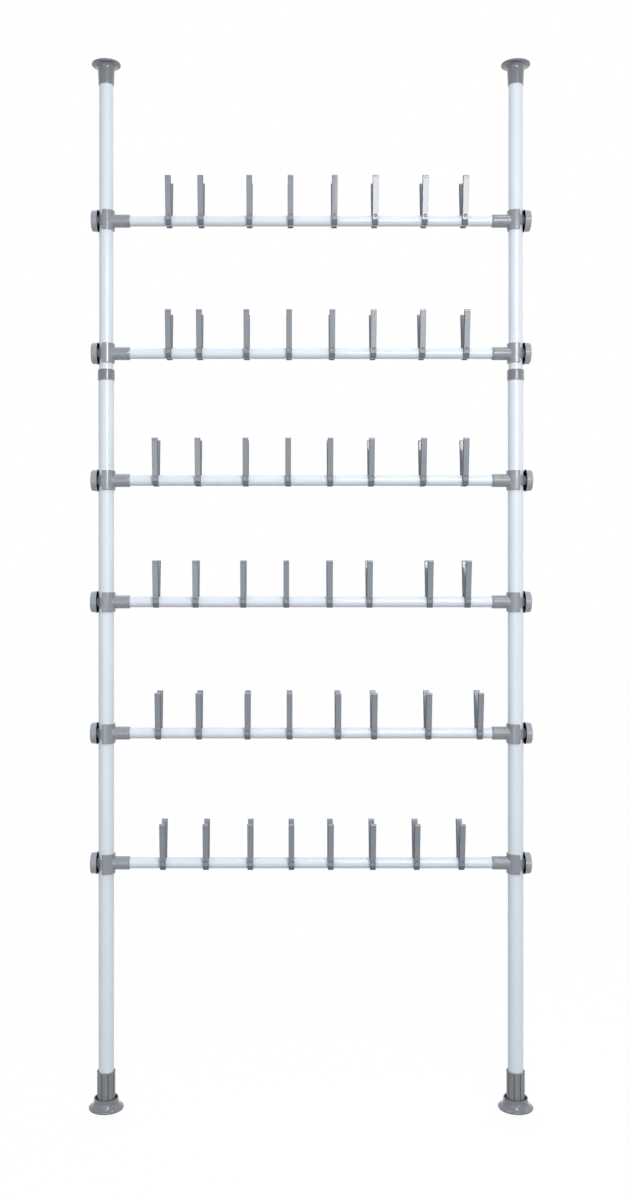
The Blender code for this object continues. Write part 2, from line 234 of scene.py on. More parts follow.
# What every surface has unless its own values differ
commonLook = {"metallic": 0.0, "ior": 1.5, "specular": 0.5, "coat": 0.0, "coatRoughness": 0.1, "coatIor": 1.5}


# A real surface: clouds of colour, a fine relief and a polish that wanders a little
def coatedSurface(name, *looks):
    look = dict(commonLook)
    for values in looks:
        look.update(values)
    cloudScale, grainScale = 1 / look["cloudSize"], 1 / look["grainSize"]
    material = newMaterial(name)
    place = addNode(material, "ShaderNodeTexCoord").outputs["Object"]
    cloud = addNode(material, "ShaderNodeTexNoise", {"Scale": cloudScale, "Detail": 3.0}, {"Vector": place})
    tone = addNode(material, "ShaderNodeMix", {"data_type": "RGBA"}, {0: cloud.outputs["Fac"]})
    tone.inputs[6].default_value = linearColour(look["darkTone"])
    tone.inputs[7].default_value = linearColour(look["lightTone"])
    polish = addNode(
        material,
        "ShaderNodeMapRange",
        {"To Min": look["roughness"][0], "To Max": look["roughness"][1]},
        {"Value": cloud.outputs["Fac"]},
    )
    grain = addNode(material, "ShaderNodeTexNoise", {"Scale": grainScale, "Detail": 2.0}, {"Vector": place})
    relief = addNode(
        material,
        "ShaderNodeBump",
        {"Strength": look["reliefStrength"], "Distance": look["reliefDepth"]},
        {"Height": grain.outputs["Fac"]},
    )
    shader = addNode(
        material,
        "ShaderNodeBsdfPrincipled",
        {
            "Metallic": look["metallic"],
            "IOR": look["ior"],
            "Specular IOR Level": look["specular"],
            "Coat Weight": look["coat"],
            "Coat Roughness": look["coatRoughness"],
            "Coat IOR": look["coatIor"],
        },
        {
            "Base Color": tone.outputs[2],
            "Roughness": polish.outputs["Result"],
            "Normal": relief.outputs["Normal"],
        },
    )
    addNode(material, "ShaderNodeOutputMaterial", {}, {"Surface": shader.outputs["BSDF"]})
    return material


# White epoxy powder coat on steel tube: even and satin, its thin gloss draws the lamps as fine lines
whitePowderCoat = coatedSurface(
    "whitePowderCoat",
    {
        "darkTone": "#D6DEE6",
        "lightTone": "#E0E7EE",
        "cloudSize": 120 * mm,
        "grainSize": 2.2 * mm,  # the orange peel of a sprayed and baked coat
        "reliefStrength": 0.10,
        "reliefDepth": 0.05 * mm,
        "roughness": (0.44, 0.52),
        "coat": 0.45,
        "coatRoughness": 0.06,
    },
)

# ABS moulded against a spark-eroded tool: a fine grain, drawn twice as coarse as it is so that it shows
grainedTool = {
    "cloudSize": 9 * mm,
    "grainSize": 0.8 * mm,
    "reliefStrength": 0.30,
    "reliefDepth": 0.08 * mm,
    "roughness": (0.42, 0.52),
    "specular": 0.35,
}

# ABS moulded against a polished tool: long soft waves, so that lamps show in it as small bright spots
polishedTool = {
    "cloudSize": 25 * mm,
    "grainSize": 3.0 * mm,
    "reliefDepth": 0.05 * mm,
    "roughness": (0.36, 0.44),
    "specular": 0.25,
    "coat": 1.0,
    "coatRoughness": 0.09,
}

# Grained grey ABS of the brackets, under a gloss that lines each ring's edge
grainedGreyAbs = coatedSurface(
    "grainedGreyAbs",
    grainedTool,
    {"darkTone": "#757B82", "lightTone": "#8B9097", "coat": 0.80, "coatRoughness": 0.15, "coatIor": 1.75},
)

# The same in a paler batch, as the knobs look; on the short boss behind each knob the paler tone is painted
# light that lifts the shade there
paleKnobGreyAndPaintedBossLight = coatedSurface(
    "paleKnobGreyAndPaintedBossLight",
    grainedTool,
    {"darkTone": "#8B9197", "lightTone": "#9CA1A7", "coat": 0.80, "coatRoughness": 0.12},
)

# A neutral, deeper grey on the grips: painted shade for the lower light near the floor; satin
gripGreyPaintedShade = coatedSurface(
    "gripGreyPaintedShade",
    grainedTool,
    {"darkTone": "#75767A", "lightTone": "#8A8B8E", "coat": 0.35, "coatRoughness": 0.18},
)

# The grips' grooves: painted shade, dull and dark, a drawn line from a step away
paintedGrooveShade = coatedSurface(
    "paintedGrooveShade",
    grainedTool,
    {"darkTone": "#3C3D3F", "lightTone": "#4C4D4F", "roughness": (0.70, 0.80), "specular": 0.0},
)

# Polished grey ABS of the caps, collars and feet, with a clear gloss on every fillet
polishedGreyAbs = coatedSurface(
    "polishedGreyAbs",
    polishedTool,
    {"darkTone": "#6C7177", "lightTone": "#777B81", "reliefStrength": 0.08},
)

# The same, flatter, on the hooks' fronts: a shade lighter than their sides as painted light, the lit copy of
# the hooks' grey
smoothGreyAbs = coatedSurface(
    "smoothGreyAbs",
    polishedTool,
    {"darkTone": "#7B8188", "lightTone": "#858B92", "reliefStrength": 0.05},
)

# Grey ABS on the hooks' sides with their rounded edges and what looks down: quite matt, and a shade darker than
# the fronts as painted shade.
# Its grain, too, is drawn coarser than it is so that it shows.
mattGreyPaintedShade = coatedSurface(
    "mattGreyPaintedShade",
    {
        "darkTone": "#757B82",
        "lightTone": "#81878E",
        "cloudSize": 14 * mm,
        "grainSize": 0.7 * mm,
        "reliefStrength": 0.30,
        "reliefDepth": 0.08 * mm,
        "roughness": (0.70, 0.80),
        "specular": 0.0,
    },
)

# Moulded black nylon insert at the back of each knob, round its stud; the same black is painted over all of the
# hollow as its shade. Dull, with its grain drawn about twice as coarse as it is
blackNylonPaintedHollowShade = coatedSurface(
    "blackNylonPaintedHollowShade",
    {
        "darkTone": "#0E0F10",
        "lightTone": "#18191B",
        "cloudSize": 10 * mm,
        "grainSize": 0.8 * mm,
        "reliefStrength": 0.25,
        "reliefDepth": 0.06 * mm,
        "roughness": (0.65, 0.80),
        "specular": 0.0,
    },
)

# Bright turned steel of the jack spindles: a hard sheen that runs along each ridge. The tool's marks are
# finer than the render shows, so they are drawn at 0.6 mm.
turnedSteel = coatedSurface(
    "turnedSteel",
    {
        "darkTone": "#B4B6B8",
        "lightTone": "#C6C8CA",
        "cloudSize": 12 * mm,
        "grainSize": 0.6 * mm,
        "reliefStrength": 0.2,
        "reliefDepth": 0.03 * mm,
        "roughness": (0.22, 0.34),
        "metallic": 1.0,
    },
)
print("stage: materials made")

# Tubes

tubeLook = {"wall": 1.0 * mm, "edge": 0.25 * mm, "sides": 72}


def makeTube(name, radius, low, high):
    inner = radius - tubeLook["wall"]
    rings = [(radius, low), (radius, high), (inner, high), (inner, low)]
    piece = latheRings(name, rings, tubeLook["sides"], closed=True)
    softenEdges(piece, tubeLook["edge"])
    smoothShade(piece)
    return piece


for side, x in poleSides:
    for layer, body, radius in (
        ("outer", "poles", rack["outerTubeRadius"]),
        ("inner", side + "_upper", rack["innerTubeRadius"]),
    ):
        node = side + "_" + layer + "_tube"
        low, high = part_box(node)
        tube = makeTube(side + "_" + layer + "_pole_tube", radius, low.z, high.z)
        tube.data.transform(Matrix.Translation((x, 0, 0)))
        dress(tube, body, node, "white_coated_steel", whitePowderCoat)
print("stage: pole tubes made")

# Guide collars

collarLook = {
    "radius": 18.3 * mm,
    "low": 1563 * mm,
    "shelf": 1579.3 * mm,  # rests on the outer tube's top
    "high": 1586 * mm,
    "bevel": 2.0 * mm,
    "bevelSlope": 0.7,  # how far the top comes in for its height
    "lip": 1.2 * mm,
    "skirtSetBack": 0.15 * mm,  # of the wall above the lip
    "edgeRound": 0.35 * mm,
    "sides": 72,
}


def makeCollar():
    guide = rack["innerTubeRadius"] + rack["clearance"]
    skirt = rack["outerTubeRadius"] + rack["clearance"]
    outer = collarLook["radius"]
    wall = outer - collarLook["skirtSetBack"]
    rings = [
        (skirt, collarLook["low"]),
        (outer, collarLook["low"]),
        (outer, collarLook["low"] + collarLook["lip"]),
        (wall, collarLook["low"] + collarLook["lip"] + 0.3 * mm),
        (wall, collarLook["high"] - collarLook["bevel"]),
        (outer - collarLook["bevel"] * collarLook["bevelSlope"], collarLook["high"]),
        (guide, collarLook["high"]),
        (guide, collarLook["shelf"]),
        (skirt, collarLook["shelf"]),
    ]
    piece = latheRings("guide_collar", rings, collarLook["sides"], closed=True)
    softenEdges(piece, collarLook["edgeRound"])
    smoothShade(piece)
    return piece


dressBothPoles(makeCollar(), "{}_collar", "poles", "{}_guide_collar", "grey_plastic", polishedGreyAbs)
print("stage: guide collars made")

# Ceiling caps

capLook = {
    "top": 2244.0 * mm,
    "bottom": 2197.5 * mm,
    "flangeRadius": 31.0 * mm,
    "lip": 5.0 * mm,
    "neckTopRadius": 18.0 * mm,
    "neckBottomRadius": 16.25 * mm,
    "filletRadius": 9.0 * mm,
    "filletSteps": 8,
    "roof": 9.0 * mm,
    "sides": 80,
}


def makeCap():
    flange = capLook["flangeRadius"]
    underside = capLook["top"] - capLook["lip"]
    fillet = capLook["filletRadius"]
    neck = capLook["neckTopRadius"]
    bore = rack["innerTubeRadius"] + rack["clearance"]
    neckEnd = capLook["neckBottomRadius"]
    rings = [
        (flange - 1.6 * mm, capLook["top"]),
        (flange - 0.4 * mm, capLook["top"] - 0.5 * mm),
        (flange, capLook["top"] - 1.8 * mm),
        (flange - 0.2 * mm, underside + 1.0 * mm),
        (flange - 1.2 * mm, underside + 0.2 * mm),
        (flange - 2.6 * mm, underside),
    ]
    rings += arcPoints((neck + fillet, underside - fillet), fillet, 90, 180, capLook["filletSteps"])
    rings += [
        (neckEnd + 0.3 * mm, capLook["bottom"] + 1.4 * mm),
        (neckEnd, capLook["bottom"] + 0.3 * mm),
        (neckEnd - 0.3 * mm, capLook["bottom"]),
        (bore, capLook["bottom"]),
        (bore, capLook["top"] - capLook["roof"]),
    ]
    piece = latheRings("ceiling_cap", rings, capLook["sides"])
    smoothShade(piece)
    return piece


dressBothPoles(makeCap(), "{}_cap", "{}_upper", "{}_ceiling_cap", "grey_plastic", polishedGreyAbs)
print("stage: ceiling caps made")

# Feet: a flared disc with a raised cup ring, and the boss that holds the spindle

footLook = {
    "radius": 37.5 * mm,
    "edge": 3.4 * mm,
    "cupOuter": 26.2 * mm,
    "cupInner": 23.9 * mm,
    "height": 23.0 * mm,
    "cupFloor": 6.0 * mm,
    "bossRadius": 10.3 * mm,
    "bossTop": 16.0 * mm,
    "socketRadius": 6.3 * mm,
    "socketFloor": 4.0 * mm,
    "sides": 96,
}


def makeFoot():
    edge = footLook["radius"]
    cup = footLook["cupOuter"]
    top = footLook["height"]
    rings = [  # the disc's edge, its flare, the cup's ring, and down into the cup, boss and socket
        (edge - 1.0 * mm, 0.0),
        (edge - 0.3 * mm, 0.3 * mm),
        (edge, 1.0 * mm),
        (edge, footLook["edge"] - 0.6 * mm),
        (edge - 0.3 * mm, footLook["edge"]),
        (edge - 1.2 * mm, 4.3 * mm),
        (edge - 3.2 * mm, 5.3 * mm),
        (edge - 5.6 * mm, 6.8 * mm),
        (edge - 7.6 * mm, 8.8 * mm),
        (edge - 9.2 * mm, 11.2 * mm),
        (cup + 0.9 * mm, 14.0 * mm),
        (cup + 0.3 * mm, 17.0 * mm),
        (cup, top - 0.9 * mm),
        (cup - 0.35 * mm, top - 0.2 * mm),
        (cup - 0.9 * mm, top),
        (footLook["cupInner"] + 0.5 * mm, top),
        (footLook["cupInner"], top - 0.6 * mm),
        (footLook["cupInner"], footLook["cupFloor"]),
        (footLook["bossRadius"], footLook["cupFloor"]),
        (footLook["bossRadius"], footLook["bossTop"]),
        (footLook["socketRadius"], footLook["bossTop"]),
        (footLook["socketRadius"], footLook["socketFloor"]),
    ]
    piece = latheRings("foot", rings, footLook["sides"])
    smoothShade(piece)
    return piece


dressBothPoles(makeFoot(), "{}_floor_foot", "{}_foot_jack", "{}_foot", "grey_plastic", polishedGreyAbs)
print("stage: feet made")

# Jack grips: a sleeve of nine panels parted by thin grooves, a rim at the top and a web inside

gripLook = {
    "radius": 19.8 * mm,
    "bore": 17.9 * mm,
    "top": 80.0 * mm,
    "bottom": 10.5 * mm,
    "rimHeight": 1.6 * mm,
    "rimStep": 0.35 * mm,
    "webLow": 36.0 * mm,
    "webHigh": 46.0 * mm,
    "threadRadius": 6.3 * mm,
    "panels": 9,
    "sidesPerPanel": 18,
    "grooveDepth": 1.2 * mm,
    "grooveTurn": 30,  # degrees; it puts a column of points on every groove
    "panelCrown": 0.15 * mm,
}


def makeGrip():
    outer = gripLook["radius"]
    wall = outer - gripLook["rimStep"]
    top = gripLook["top"]
    bottom = gripLook["bottom"]
    grooveTop = top - gripLook["rimHeight"] - 0.5 * mm
    rings = [
        (gripLook["bore"], top),
        (outer - 0.5 * mm, top),
        (outer, top - 0.5 * mm),
        (outer, top - gripLook["rimHeight"]),
        (wall, top - gripLook["rimHeight"] - 0.3 * mm),
        (wall, grooveTop - 0.4 * mm),
        (wall, bottom + 4.0 * mm),
        (wall - 0.3 * mm, bottom + 1.4 * mm),
        (wall - 1.2 * mm, bottom),
        (gripLook["bore"], bottom),
        (gripLook["bore"], gripLook["webLow"]),
        (gripLook["threadRadius"], gripLook["webLow"]),
        (gripLook["threadRadius"], gripLook["webHigh"]),
        (gripLook["bore"], gripLook["webHigh"]),
    ]
    sides = gripLook["panels"] * gripLook["sidesPerPanel"]
    piece = latheRings("jack_grip", rings, sides, closed=True)
    # Each groove is one column of the outer wall's points pulled in, and each panel is crowned a little
    panelAngle = 2 * math.pi / gripLook["panels"]
    for vertex in piece.data.vertices:
        radius = math.hypot(vertex.co.x, vertex.co.y)
        inBand = bottom - 0.1 * mm < vertex.co.z < grooveTop - 0.3 * mm
        if not inBand or radius < wall - 1.3 * mm:
            continue
        angle = math.atan2(vertex.co.y, vertex.co.x) + math.radians(gripLook["grooveTurn"])
        across = abs((angle / panelAngle) % 1.0 - 0.5) * 2  # 0 at a panel's middle, 1 at a groove
        atGroove = across > 1 - 1.0 / gripLook["sidesPerPanel"]
        sink = gripLook["grooveDepth"] if atGroove else gripLook["panelCrown"] * across ** 4
        grow = (radius - sink) / radius
        vertex.co.x *= grow
        vertex.co.y *= grow
    # The faces that lead into a groove take the painted shade, short of its two ends
    for face in piece.data.polygons:
        radius = math.hypot(face.center.x, face.center.y)
        alongGroove = bottom + 3 * mm < face.center.z < grooveTop - 1 * mm
        sunk = wall - 0.8 * mm < radius < wall - 0.3 * mm
        face.material_index = 1 if alongGroove and sunk else 0
    smoothShade(piece, 30)
    return piece


dressBothPoles(
    makeGrip(), "{}_grip_sleeve", "{}_grip", "{}_jack_grip", "grey_plastic", gripGreyPaintedShade, paintedGrooveShade
)
print("stage: jack grips made")

# Jack spindles, with their thread as stacked ridges

spindleLook = {
    "radius": 6.0 * mm,
    "root": 5.3 * mm,
    "bottom": 4.3 * mm,
    "threadLow": 18.0 * mm,
    "threadEnd": 2 * mm,  # plain at the top
    "top": 160.0 * mm,
    "pitch": 4.0 * mm,
    "bottomBevel": 0.9 * mm,
    "topBevel": 1.0 * mm,
    "sides": 40,
}


def makeSpindle():
    crest, root = spindleLook["radius"], spindleLook["root"]
    bottom, top = spindleLook["bottom"], spindleLook["top"]
    height = spindleLook["threadLow"]
    rings = [
        (crest - spindleLook["bottomBevel"], bottom),
        (crest, bottom + spindleLook["bottomBevel"]),
        (crest, height),
    ]
    while height + spindleLook["pitch"] < top - spindleLook["threadEnd"]:
        rings += [
            (root, height + 1.0 * mm),
            (root, height + 2.0 * mm),
            (crest, height + 2.6 * mm),
            (crest, height + spindleLook["pitch"]),
        ]
        height += spindleLook["pitch"]
    rings += [(crest, top - spindleLook["topBevel"]), (crest - spindleLook["topBevel"], top)]
    piece = latheRings("jack_spindle", rings, spindleLook["sides"])
    smoothShade(piece)
    return piece


dressBothPoles(
    makeSpindle(), "{}_threaded_spindle", "{}_foot_jack", "{}_jack_spindle", "bright_steel", turnedSteel
)
print("stage: jack spindles made")

# Brackets: ring round the pole, socket for the rail towards +X, boss for the knob towards -X

bracketLook = {
    "wall": 3.0 * mm,
    "height": 42.0 * mm,
    "cutBack": 6.7 * mm,  # from the pole's axis, where the ring is cut flat behind the knob
    "bandHeight": 20.4 * mm,  # of the part that goes all round
    "socketRadius": 14.2 * mm,
    "socketEnd": 51.5 * mm,
    "socketLip": 3.2 * mm,
    "bossRadius": 10.2 * mm,
    "bossEnd": 24.4 * mm,
    "railSeat": 23.7 * mm,  # where the rail's end stops
    "studBore": 4.3 * mm,
    "paintedBossLightFrom": 0.4 * mm,  # past the flat, where the boss's painted light begins
    "ringSides": 96,
    "socketSides": 80,
    "bossSides": 64,
    "studSides": 40,
    "overrun": 5 * mm,  # of a boring tool past the wall
    "voxel": 0.45 * mm,
    "smoothing": 3,
    "keepShare": 0.14,  # of the melted mesh's faces
}


def makeBracket(name, tubeRadius):
    bore = tubeRadius + rack["clearance"]
    ringRadius = bore + bracketLook["wall"]
    half = bracketLook["height"] / 2
    bandHalf = bracketLook["bandHeight"] / 2
    outer = bracketLook["socketRadius"]
    end = bracketLook["socketEnd"]
    lip = end - bracketLook["socketLip"]
    bossEnd = bracketLook["bossEnd"]
    overrun = bracketLook["overrun"]
    ringSides, socketSides = bracketLook["ringSides"], bracketLook["socketSides"]
    ring = rod(name, ringRadius, -half, half, ringSides)
    editWhole()
    bpy.ops.mesh.bisect(
        plane_co=(-bracketLook["cutBack"], 0, 0), plane_no=(-1, 0, 0), use_fill=True, clear_outer=True
    )
    objectMode()
    weld(ring, rod("band", ringRadius - 0.02 * mm, -bandHalf, bandHalf, ringSides))
    weld(ring, rod("socket", outer, bore / 2, lip, socketSides, along="X"))
    weld(ring, rod("boss", bracketLook["bossRadius"], -bossEnd, -bore / 2, bracketLook["bossSides"], along="X"))
    # Melted together, so that the joints between ring, socket and boss are filleted
    applyModifier(ring, "REMESH", mode="VOXEL", voxel_size=bracketLook["voxel"])
    applyModifier(ring, "SMOOTH", factor=0.5, iterations=bracketLook["smoothing"])
    applyModifier(ring, "DECIMATE", ratio=bracketLook["keepShare"])
    # The socket's end: a shallow groove and then a tapering lip
    groove = lip - 0.4 * mm
    lipRings = [
        (outer - 1.5 * mm, groove - 2.0 * mm),
        (outer - 0.45 * mm, groove - 1.0 * mm),
        (outer - 0.45 * mm, lip),
        (outer - 0.05 * mm, lip + 0.3 * mm),
        (outer - 0.75 * mm, end - 0.5 * mm),
        (outer - 1.2 * mm, end),
    ]
    lipPiece = latheRings("lip", lipRings, socketSides)
    lipPiece.data.transform(Matrix.Rotation(math.radians(90), 4, "Y"))
    weld(ring, lipPiece)
    railBore = rack["railRadius"] + rack["clearance"]
    studBore, studSides = bracketLook["studBore"], bracketLook["studSides"]
    cutAway(ring, rod("tube_bore", bore, -half - overrun, half + overrun, ringSides))
    cutAway(ring, rod("rail_bore", railBore, bracketLook["railSeat"], end + overrun, socketSides, along="X"))
    cutAway(ring, rod("stud_bore", studBore, -bossEnd - overrun, -bore / 2, studSides, along="X"))
    tidyMesh(ring)
    # Past this the boss takes the paler grey: painted light over the shade between ring and knob
    boss = -bracketLook["cutBack"] - bracketLook["paintedBossLightFrom"]
    for face in ring.data.polygons:
        face.material_index = 1 if face.center.x < boss else 0
    smoothShade(ring, 40)
    return ring


# Knobs: a hollow-backed cap with a flange at its rim and the stud moulded in

knobLook = {
    "insertRadius": 22.9 * mm,
    "insertDepth": 1.2 * mm,  # how far the black insert stands out behind the cap
    "flangeRadius": 23.7 * mm,
    "bodyRadius": 22.8 * mm,
    "faceEdgeRadius": 22.4 * mm,
    "rimPlane": 16.8 * mm,
    "flange": 2.0 * mm,
    "face": 31.5 * mm,
    "edgeRound": 3.0 * mm,
    "edgeSteps": 6,
    "faceBand": 4.0 * mm,  # a flat ring round the middle of the face
    "hollowRadius": 20.6 * mm,
    "roof": 28.3 * mm,
    "hubRadius": 6.5 * mm,
    "hubFace": 24.7 * mm,
    "studRadius": 4.0 * mm,
    "sides": 96,
    # How far each one is wound out from its tightest place, top rail first
    "woundOut": {
        "left": (-0.8 * mm, -0.8 * mm, -0.2 * mm, 0.7 * mm, 0.7 * mm, 0.7 * mm),
        "right": (-0.8 * mm, -0.8 * mm, 2.6 * mm, 0.0, 1.6 * mm, 0.0),
    },
}


def makeKnob(name, tubeRadius):
    front, edgeRound = knobLook["face"], knobLook["edgeRound"]
    flange, insert = knobLook["flangeRadius"], knobLook["insertRadius"]
    hollow, stud = knobLook["hollowRadius"], knobLook["studRadius"]
    back = knobLook["rimPlane"]
    flangeBack = back + knobLook["insertDepth"]
    flangeFront = flangeBack + knobLook["flange"]
    corner = (knobLook["faceEdgeRadius"] - edgeRound, front - edgeRound)
    rings = [(corner[0] - knobLook["faceBand"], front)]
    rings += arcPoints(corner, edgeRound, 90, 0, knobLook["edgeSteps"])
    rings += [
        (knobLook["bodyRadius"], flangeFront + 0.3 * mm),
        (flange - 0.15 * mm, flangeFront),
        (flange, flangeFront - 0.4 * mm),
        (flange, flangeBack + 0.3 * mm),
        (flange - 0.3 * mm, flangeBack),
        (insert, flangeBack),
        (insert, back + 0.4 * mm),
        (insert - 0.4 * mm, back),
        (hollow + 0.3 * mm, back),
        (hollow, back + 0.4 * mm),
        (hollow - 0.3 * mm, knobLook["roof"]),
        (knobLook["hubRadius"], knobLook["roof"]),
        (knobLook["hubRadius"], knobLook["hubFace"]),
        (stud, knobLook["hubFace"]),
        (stud, tubeRadius + 1.0 * mm),
        (stud - 0.6 * mm, tubeRadius + rack["clearance"]),
    ]
    piece = latheRings(name, rings, knobLook["sides"])
    # The back is black nylon, and all of the hollow is painted black as shade
    for face in piece.data.polygons:
        inBack = face.center.z < flangeBack + 0.1 * mm
        inHollow = math.hypot(face.center.x, face.center.y) < hollow + 0.2 * mm
        onOutside = face.center.z > front - edgeRound
        face.material_index = 1 if inBack or (inHollow and not onOutside) else 0
    piece.data.transform(Matrix.Rotation(math.radians(-90), 4, "Y"))
    smoothShade(piece)
    return piece


# Moves a knob along the rail's line; its stud stays where it is, with its tip on the pole
def windOut(piece, place, outward):
    x, height = place
    for vertex in piece.data.vertices:
        fromAxis = math.hypot(vertex.co.y, vertex.co.z - height)
        if fromAxis > knobLook["studRadius"] + 0.1 * mm:
            vertex.co.x += outward * math.copysign(1, x)


# Hooks: a fork of two leaning prongs on a clip that springs over the rail

hookLook = {
    "width": 12.0 * mm,
    "edgeRound": 0.7 * mm,
    "edgeSteps": 3,
    "dimpleRadius": 3.4 * mm,
    "dimpleDepth": 0.7 * mm,
    "dimpleHeight": 4.5 * mm,
    "dimpleAcross": 21.6 * mm,
    # The outline, in millimetres across and up from the rail's axis
    "lean": 8.9,  # degrees that a prong leans outward
    "tipMiddle": (28.8, 83.95),
    "tipHalf": 5.25,
    "frontCorner": 2.4,
    "backCorner": 3.2,
    "grooveBelowTip": 5.0,
    "grooveDepth": 0.4,
    "cradle": [(0.0, 15.5), (6.5, 15.5)],  # between the prongs
    "innerBend": ((8.6, 20.2), 4.7),  # centre and radius of the arc up into a prong
    "shoulder": [(21.9, 6.0), (20.9, -0.6), (20.55, -2.2), (20.3, -2.9), (14.9, -10.5)],  # below a prong
    "lipOutside": ((12.4, -11.0), 1.2),
    "lipInside": ((10.5, -11.2), 1.0),
    "clipRadius": 11.8,
    # What faces sideways or down by more than these shares is matt, and painted a shade darker as shade
    "paintedShadeAside": 0.2,
    "paintedShadeBelow": -0.3,
}


def prongPoint(outward, along):
    lean = math.radians(hookLook["lean"])
    across = hookLook["tipMiddle"][0] + outward * math.cos(lean) + along * math.sin(lean)
    up = hookLook["tipMiddle"][1] - outward * math.sin(lean) + along * math.cos(lean)
    return (across, up)


def hookOutline():
    lean = hookLook["lean"]
    tip = hookLook["tipHalf"]
    front = tip - hookLook["frontCorner"]
    back = tip - hookLook["backCorner"]
    groove = tip - hookLook["grooveBelowTip"]
    half = list(hookLook["cradle"])
    half += arcPoints(*hookLook["innerBend"], -78, -12, 7)
    half += arcPoints(prongPoint(-back, back), hookLook["backCorner"], 180 - lean, 90 - lean, 7)
    half += arcPoints(prongPoint(front, front), hookLook["frontCorner"], 90 - lean, -lean, 7)
    half += [
        prongPoint(tip, groove + 0.5),
        prongPoint(tip - hookLook["grooveDepth"], groove + 0.2),
        prongPoint(tip - hookLook["grooveDepth"], groove - 0.6),
        prongPoint(tip, groove - 0.9),
    ]
    half += hookLook["shoulder"]
    half += arcPoints(*hookLook["lipOutside"], -20, -90, 4)
    half += arcPoints(*hookLook["lipInside"], -90, -180, 4)
    half += arcPoints((0.0, 0.0), hookLook["clipRadius"], -35, 90, 16)
    other = [(-across, up) for across, up in reversed(half[1:-1])]
    return [(across * mm, up * mm) for across, up in half + other]


def makeHook():
    curve = bpy.data.curves.new("shoe_hook", "CURVE")
    curve.dimensions = "2D"
    curve.fill_mode = "BOTH"
    curve.extrude = hookLook["width"] / 2
    outline = hookOutline()
    spline = curve.splines.new("POLY")
    spline.points.add(len(outline) - 1)
    for point, (across, up) in zip(spline.points, outline):
        point.co = (across, up, 0, 1)
    spline.use_cyclic_u = True
    piece = bpy.data.objects.new("shoe_hook", curve)
    bpy.context.scene.collection.objects.link(piece)
    pick(piece)
    bpy.ops.object.convert(target="MESH")
    piece = bpy.context.object
    tidyMesh(piece)
    editWhole()
    bpy.ops.mesh.dissolve_limited(angle_limit=math.radians(0.5))
    objectMode()
    softenEdges(piece, hookLook["edgeRound"], segments=hookLook["edgeSteps"], angle=70)
    piece.data.transform(Matrix(((0, 0, 1, 0), (1, 0, 0, 0), (0, 1, 0, 0), (0, 0, 0, 1))))
    # A round dimple in each outer wall, cut by a ball
    depth = hookLook["dimpleDepth"]
    ball = (hookLook["dimpleRadius"] ** 2 + depth ** 2) / (2 * depth)
    for across in (-1, 1):
        place = (0, across * (hookLook["dimpleAcross"] + ball - depth), hookLook["dimpleHeight"])
        clearSelection()
        bpy.ops.mesh.primitive_uv_sphere_add(segments=64, ring_count=64, radius=ball, location=place)
        dimple = bpy.context.object
        settle(dimple)
        cutAway(piece, dimple)
    tidyMesh(piece)
    # Sides and downward faces take the darker matt grey: painted shade
    for face in piece.data.polygons:
        aside = abs(face.normal.x) > hookLook["paintedShadeAside"]
        below = face.normal.z < hookLook["paintedShadeBelow"]
        face.material_index = 1 if aside or below else 0
    smoothShade(piece, 21)
    return piece


bracketMasters = {
    "inner": makeBracket("upper_bracket", rack["innerTubeRadius"]),
    "outer": makeBracket("lower_bracket", rack["outerTubeRadius"]),
}
knobMasters = {
    "inner": makeKnob("upper_knob", rack["innerTubeRadius"]),
    "outer": makeKnob("lower_knob", rack["outerTubeRadius"]),
}
hookMaster = makeHook()
print("stage: bracket, knob and hook modelled,", len(hookMaster.data.polygons), "faces in a hook")

for row, (height, places) in enumerate(zip(rack["railHeights"], rack["hookPlaces"]), start=1):
    layer = "inner" if row <= rack["rowsOnInnerTubes"] else "outer"
    body = "rail_%d_unit" % row
    node = "rail_%d" % row
    low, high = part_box(node)
    rail = makeTube("rail_%d_tube" % row, rack["railRadius"], low.x, high.x)
    rail.data.transform(Matrix.Translation((0, 0, height)) @ Matrix.Rotation(math.radians(90), 4, "Y"))
    dress(rail, body, node, "white_coated_steel", whitePowderCoat)
    for (side, x), turn in zip(poleSides, (0, 180)):
        place = Matrix.Translation((x, 0, height)) @ Matrix.Rotation(math.radians(turn), 4, "Z")
        name = "rail_%d_%s" % (row, side)
        bracket = placeCopy(bracketMasters[layer], name + "_pole_bracket", place)
        dress(bracket, body, name + "_bracket", "grey_plastic", grainedGreyAbs, paleKnobGreyAndPaintedBossLight)
        knob = placeCopy(knobMasters[layer], name + "_lock_knob", place)
        windOut(knob, (x, height), knobLook["woundOut"][side][row - 1])
        dress(knob, name + "_knob", name + "_knob", "grey_plastic", paleKnobGreyAndPaintedBossLight, blackNylonPaintedHollowShade)
    for number, along in enumerate(places, start=1):
        place = Matrix.Translation((along, 0, height))
        hook = placeCopy(hookMaster, "shoe_hook_%d_%d" % (row, number), place)
        if layer == "inner":
            own = "hook_%d_%d" % (row, number)
            dress(hook, own, own, "grey_plastic", smoothGreyAbs, mattGreyPaintedShade)
        else:  # these hooks share their rail's node
            dress(hook, body, node, "grey_plastic", smoothGreyAbs, mattGreyPaintedShade)
for master in [*bracketMasters.values(), *knobMasters.values(), hookMaster]:
    removePiece(master)
print("stage: rails, brackets, knobs and hooks placed")

# Stage: a white floor that runs out of sight, and a white surround

stageLook = {
    "floorSize": 60.0,
    "floorDrop": 30.5 * mm,  # the feet stand on it when their jacks are run right out
    "floorTone": "#9A9A9A",
    "floorWhite": 0.88,  # share of its own white that the eye sees; the rest is lit, and takes the shadow
    "floorGlow": 1.10,
    "ambientTone": "#F4F8FF",
    "ambientStrength": 0.556,
}
pureWhite = (1, 1, 1, 1)


